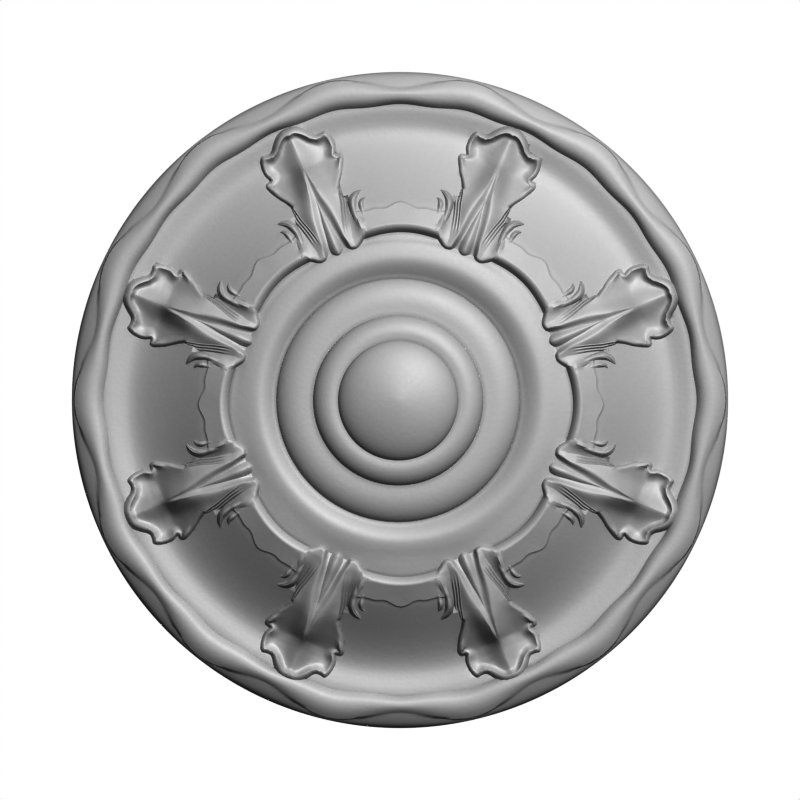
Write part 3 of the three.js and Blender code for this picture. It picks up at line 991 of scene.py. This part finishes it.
def paint_hollow_shade(obj):
    """Stores painted shade for the surface's hollows as a colour attribute that is dark in them."""
    select_only(obj)
    bpy.ops.geometry.color_attribute_add(
        name=SHADE_LAYER, domain="POINT", data_type="FLOAT_COLOR", color=(1, 1, 1, 1),
    )
    bpy.ops.object.mode_set(mode="VERTEX_PAINT")
    bpy.ops.paint.vertex_color_dirt(
        blur_strength=1, blur_iterations=1, dirt_angle=HOLLOW_ANGLE, clean_angle=OPEN_ANGLE,
        dirt_only=True, normalize=False,
    )
    bpy.ops.object.mode_set(mode="OBJECT")


class ROSE_OT_turn_disc(Operator):
    """Turns the disc with its boss, dish, lip and cove, and waves its rim."""

    bl_idname = "rose.turn_disc"
    bl_label = "Turn disc"

    def execute(self, context):
        sizes = context.scene.rose_sizes
        disc = spin_profile(disc_profile(sizes), sizes.disc_segments)
        disc.name = "rose_disc"
        shape_disc(disc, sizes)
        return {"FINISHED"}


class ROSE_OT_carve_leaves(Operator):
    """Carves one acanthus leaf with its tongue and fronds, and copies it round the ring."""

    bl_idname = "rose.carve_leaves"
    bl_label = "Carve leaves"

    def execute(self, context):
        sizes = context.scene.rose_sizes
        for leaf in copy_round(model_spray(sizes.leaf_count), sizes.leaf_count, sizes.leaf_shift):
            leaf.name = "rose_leaf"
        return {"FINISHED"}


class ROSE_OT_join_casting(Operator):
    """Joins disc and leaves into one casting, turns it face down and paints it."""

    bl_idname = "rose.join_casting"
    bl_label = "Join casting"

    def execute(self, context):
        disc = bpy.data.objects["rose_disc"]
        leaves = [obj for obj in bpy.data.objects if obj.name.startswith("rose_leaf")]
        unite(disc, leaves)
        disc.name = "ceiling_rose_casting"
        select_only(disc)
        disc.rotation_euler.x = math.pi
        bpy.ops.object.transform_apply(location=True, rotation=True, scale=True)
        smooth_by_area(disc)
        # Paints shade into the hollows as a colour attribute
        paint_hollow_shade(disc)
        paint_face_and_back(disc, context.scene.rose_finish)
        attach(disc, "root")
        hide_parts("ceiling_rose")
        return {"FINISHED"}


# Stage


def add_light(name, place, strength, spread):
    """Adds a soft light that shines evenly from a place to the rose, without shadows."""
    deselect_all()
    bpy.ops.object.light_add(type="SUN", location=place)
    light = bpy.context.object
    light.name = name
    light.rotation_euler = (-Vector(place)).to_track_quat("-Z", "Y").to_euler()
    light.data.energy = strength
    light.data.angle = spread
    light.data.use_shadow = False


def set_world(strength):
    """Lights the room dimly and evenly, with a white surround for the camera."""
    world = bpy.data.worlds.new("Studio")
    world.use_nodes = True
    tree = world.node_tree
    dim = tree.nodes["Background"]
    dim.inputs["Color"].default_value = (1, 1, 1, 1)
    dim.inputs["Strength"].default_value = strength
    white = add_node(tree, "ShaderNodeBackground", inputs={"Color": (1, 1, 1, 1), "Strength": 1})
    path = add_node(tree, "ShaderNodeLightPath")
    either = add_node(tree, "ShaderNodeMixShader")
    tree.links.new(path.outputs["Is Camera Ray"], either.inputs["Fac"])
    tree.links.new(dim.outputs["Background"], either.inputs[1])
    tree.links.new(white.outputs["Background"], either.inputs[2])
    tree.links.new(either.outputs["Shader"], tree.nodes["World Output"].inputs["Surface"])
    bpy.context.scene.world = world


def floor_material():
    """Pale matt floor with a faint drift of tone."""
    material = bpy.data.materials.new("Studio floor")
    material.use_nodes = True
    tree = material.node_tree
    place = add_node(tree, "ShaderNodeTexCoord")
    clouds = add_node(tree, "ShaderNodeTexNoise", inputs={"Scale": 1.5, "Detail": 3})
    drift = add_node(tree, "ShaderNodeMix", data_type="RGBA")
    drift.inputs["A"].default_value = FLOOR_TONES[0]
    drift.inputs["B"].default_value = FLOOR_TONES[1]
    tree.links.new(place.outputs["Object"], clouds.inputs["Vector"])
    tree.links.new(clouds.outputs["Fac"], drift.inputs["Factor"])
    tree.links.new(drift.outputs["Result"], tree.nodes["Principled BSDF"].inputs["Base Color"])
    tree.nodes["Principled BSDF"].inputs["Roughness"].default_value = 0.9
    return material


class ROSE_OT_set_stage(Operator):
    """Sets the floor far below, the soft lights and the camera that looks straight up."""

    bl_idname = "rose.set_stage"
    bl_label = "Set stage"

    def execute(self, context):
        studio = context.scene.rose_studio
        deselect_all()
        bpy.ops.mesh.primitive_plane_add(size=FLOOR_SIZE, location=(0, 0, 0))
        floor = context.object
        floor.name = "studio_floor"
        bpy.ops.object.mode_set(mode="EDIT")
        bpy.ops.transform.translate(value=(0, 0, -studio.floor_drop))
        bpy.ops.object.mode_set(mode="OBJECT")
        floor.data.materials.append(floor_material())
        floor.visible_diffuse = False
        floor.visible_glossy = False
        aside = KEY_DISTANCE * math.sin(studio.key_tilt)
        key_place = (
            aside * math.cos(studio.key_azimuth),
            -aside * math.sin(studio.key_azimuth),
            -KEY_DISTANCE * math.cos(studio.key_tilt),
        )
        add_light("key", key_place, studio.key_strength, KEY_SPREAD)
        add_light("back", (0, 0, BACK_LIGHT_HEIGHT), studio.back_strength, BACK_SPREAD)
        set_world(studio.fill_strength)
        bpy.ops.object.camera_add(location=(0, 0, CAMERA_HEIGHT), rotation=(math.pi, 0, 0))
        camera = context.object
        camera.data.type = "ORTHO"
        camera.data.ortho_scale = studio.view_width
        context.scene.camera = camera
        context.scene.view_settings.view_transform = "Standard"
        context.scene.view_settings.gamma = studio.contrast
        return {"FINISHED"}


class ROSE_PT_sidebar(Panel):
    """Sizes, finishes and steps of the ceiling rose."""

    bl_idname = "ROSE_PT_sidebar"
    bl_label = "Ceiling Rose"
    bl_space_type = "VIEW_3D"
    bl_region_type = "UI"
    bl_category = "Rose"

    def draw(self, context):
        for settings in (context.scene.rose_sizes, context.scene.rose_finish, context.scene.rose_studio):
            box = self.layout.box()
            for name in settings.__annotations__:
                box.prop(settings, name)
        for operator in OPERATORS:
            self.layout.operator(operator.bl_idname)


OPERATORS = (ROSE_OT_turn_disc, ROSE_OT_carve_leaves, ROSE_OT_join_casting, ROSE_OT_set_stage)
SETTINGS = {"rose_sizes": RoseSizes, "rose_finish": RoseFinish, "rose_studio": RoseStudio}


def register():
    for group in SETTINGS.values():
        bpy.utils.register_class(group)
    for name, group in SETTINGS.items():
        setattr(bpy.types.Scene, name, PointerProperty(type=group))
    for operator in OPERATORS:
        bpy.utils.register_class(operator)
    bpy.utils.register_class(ROSE_PT_sidebar)


def unregister():
    bpy.utils.unregister_class(ROSE_PT_sidebar)
    for operator in reversed(OPERATORS):
        bpy.utils.unregister_class(operator)
    for name, group in SETTINGS.items():
        delattr(bpy.types.Scene, name)
        bpy.utils.unregister_class(group)


def main():
    register()
    bpy.ops.rose.turn_disc()
    bpy.ops.rose.carve_leaves()
    bpy.ops.rose.join_casting()
    bpy.ops.rose.set_stage()


if __name__ == "__main__":
    main()
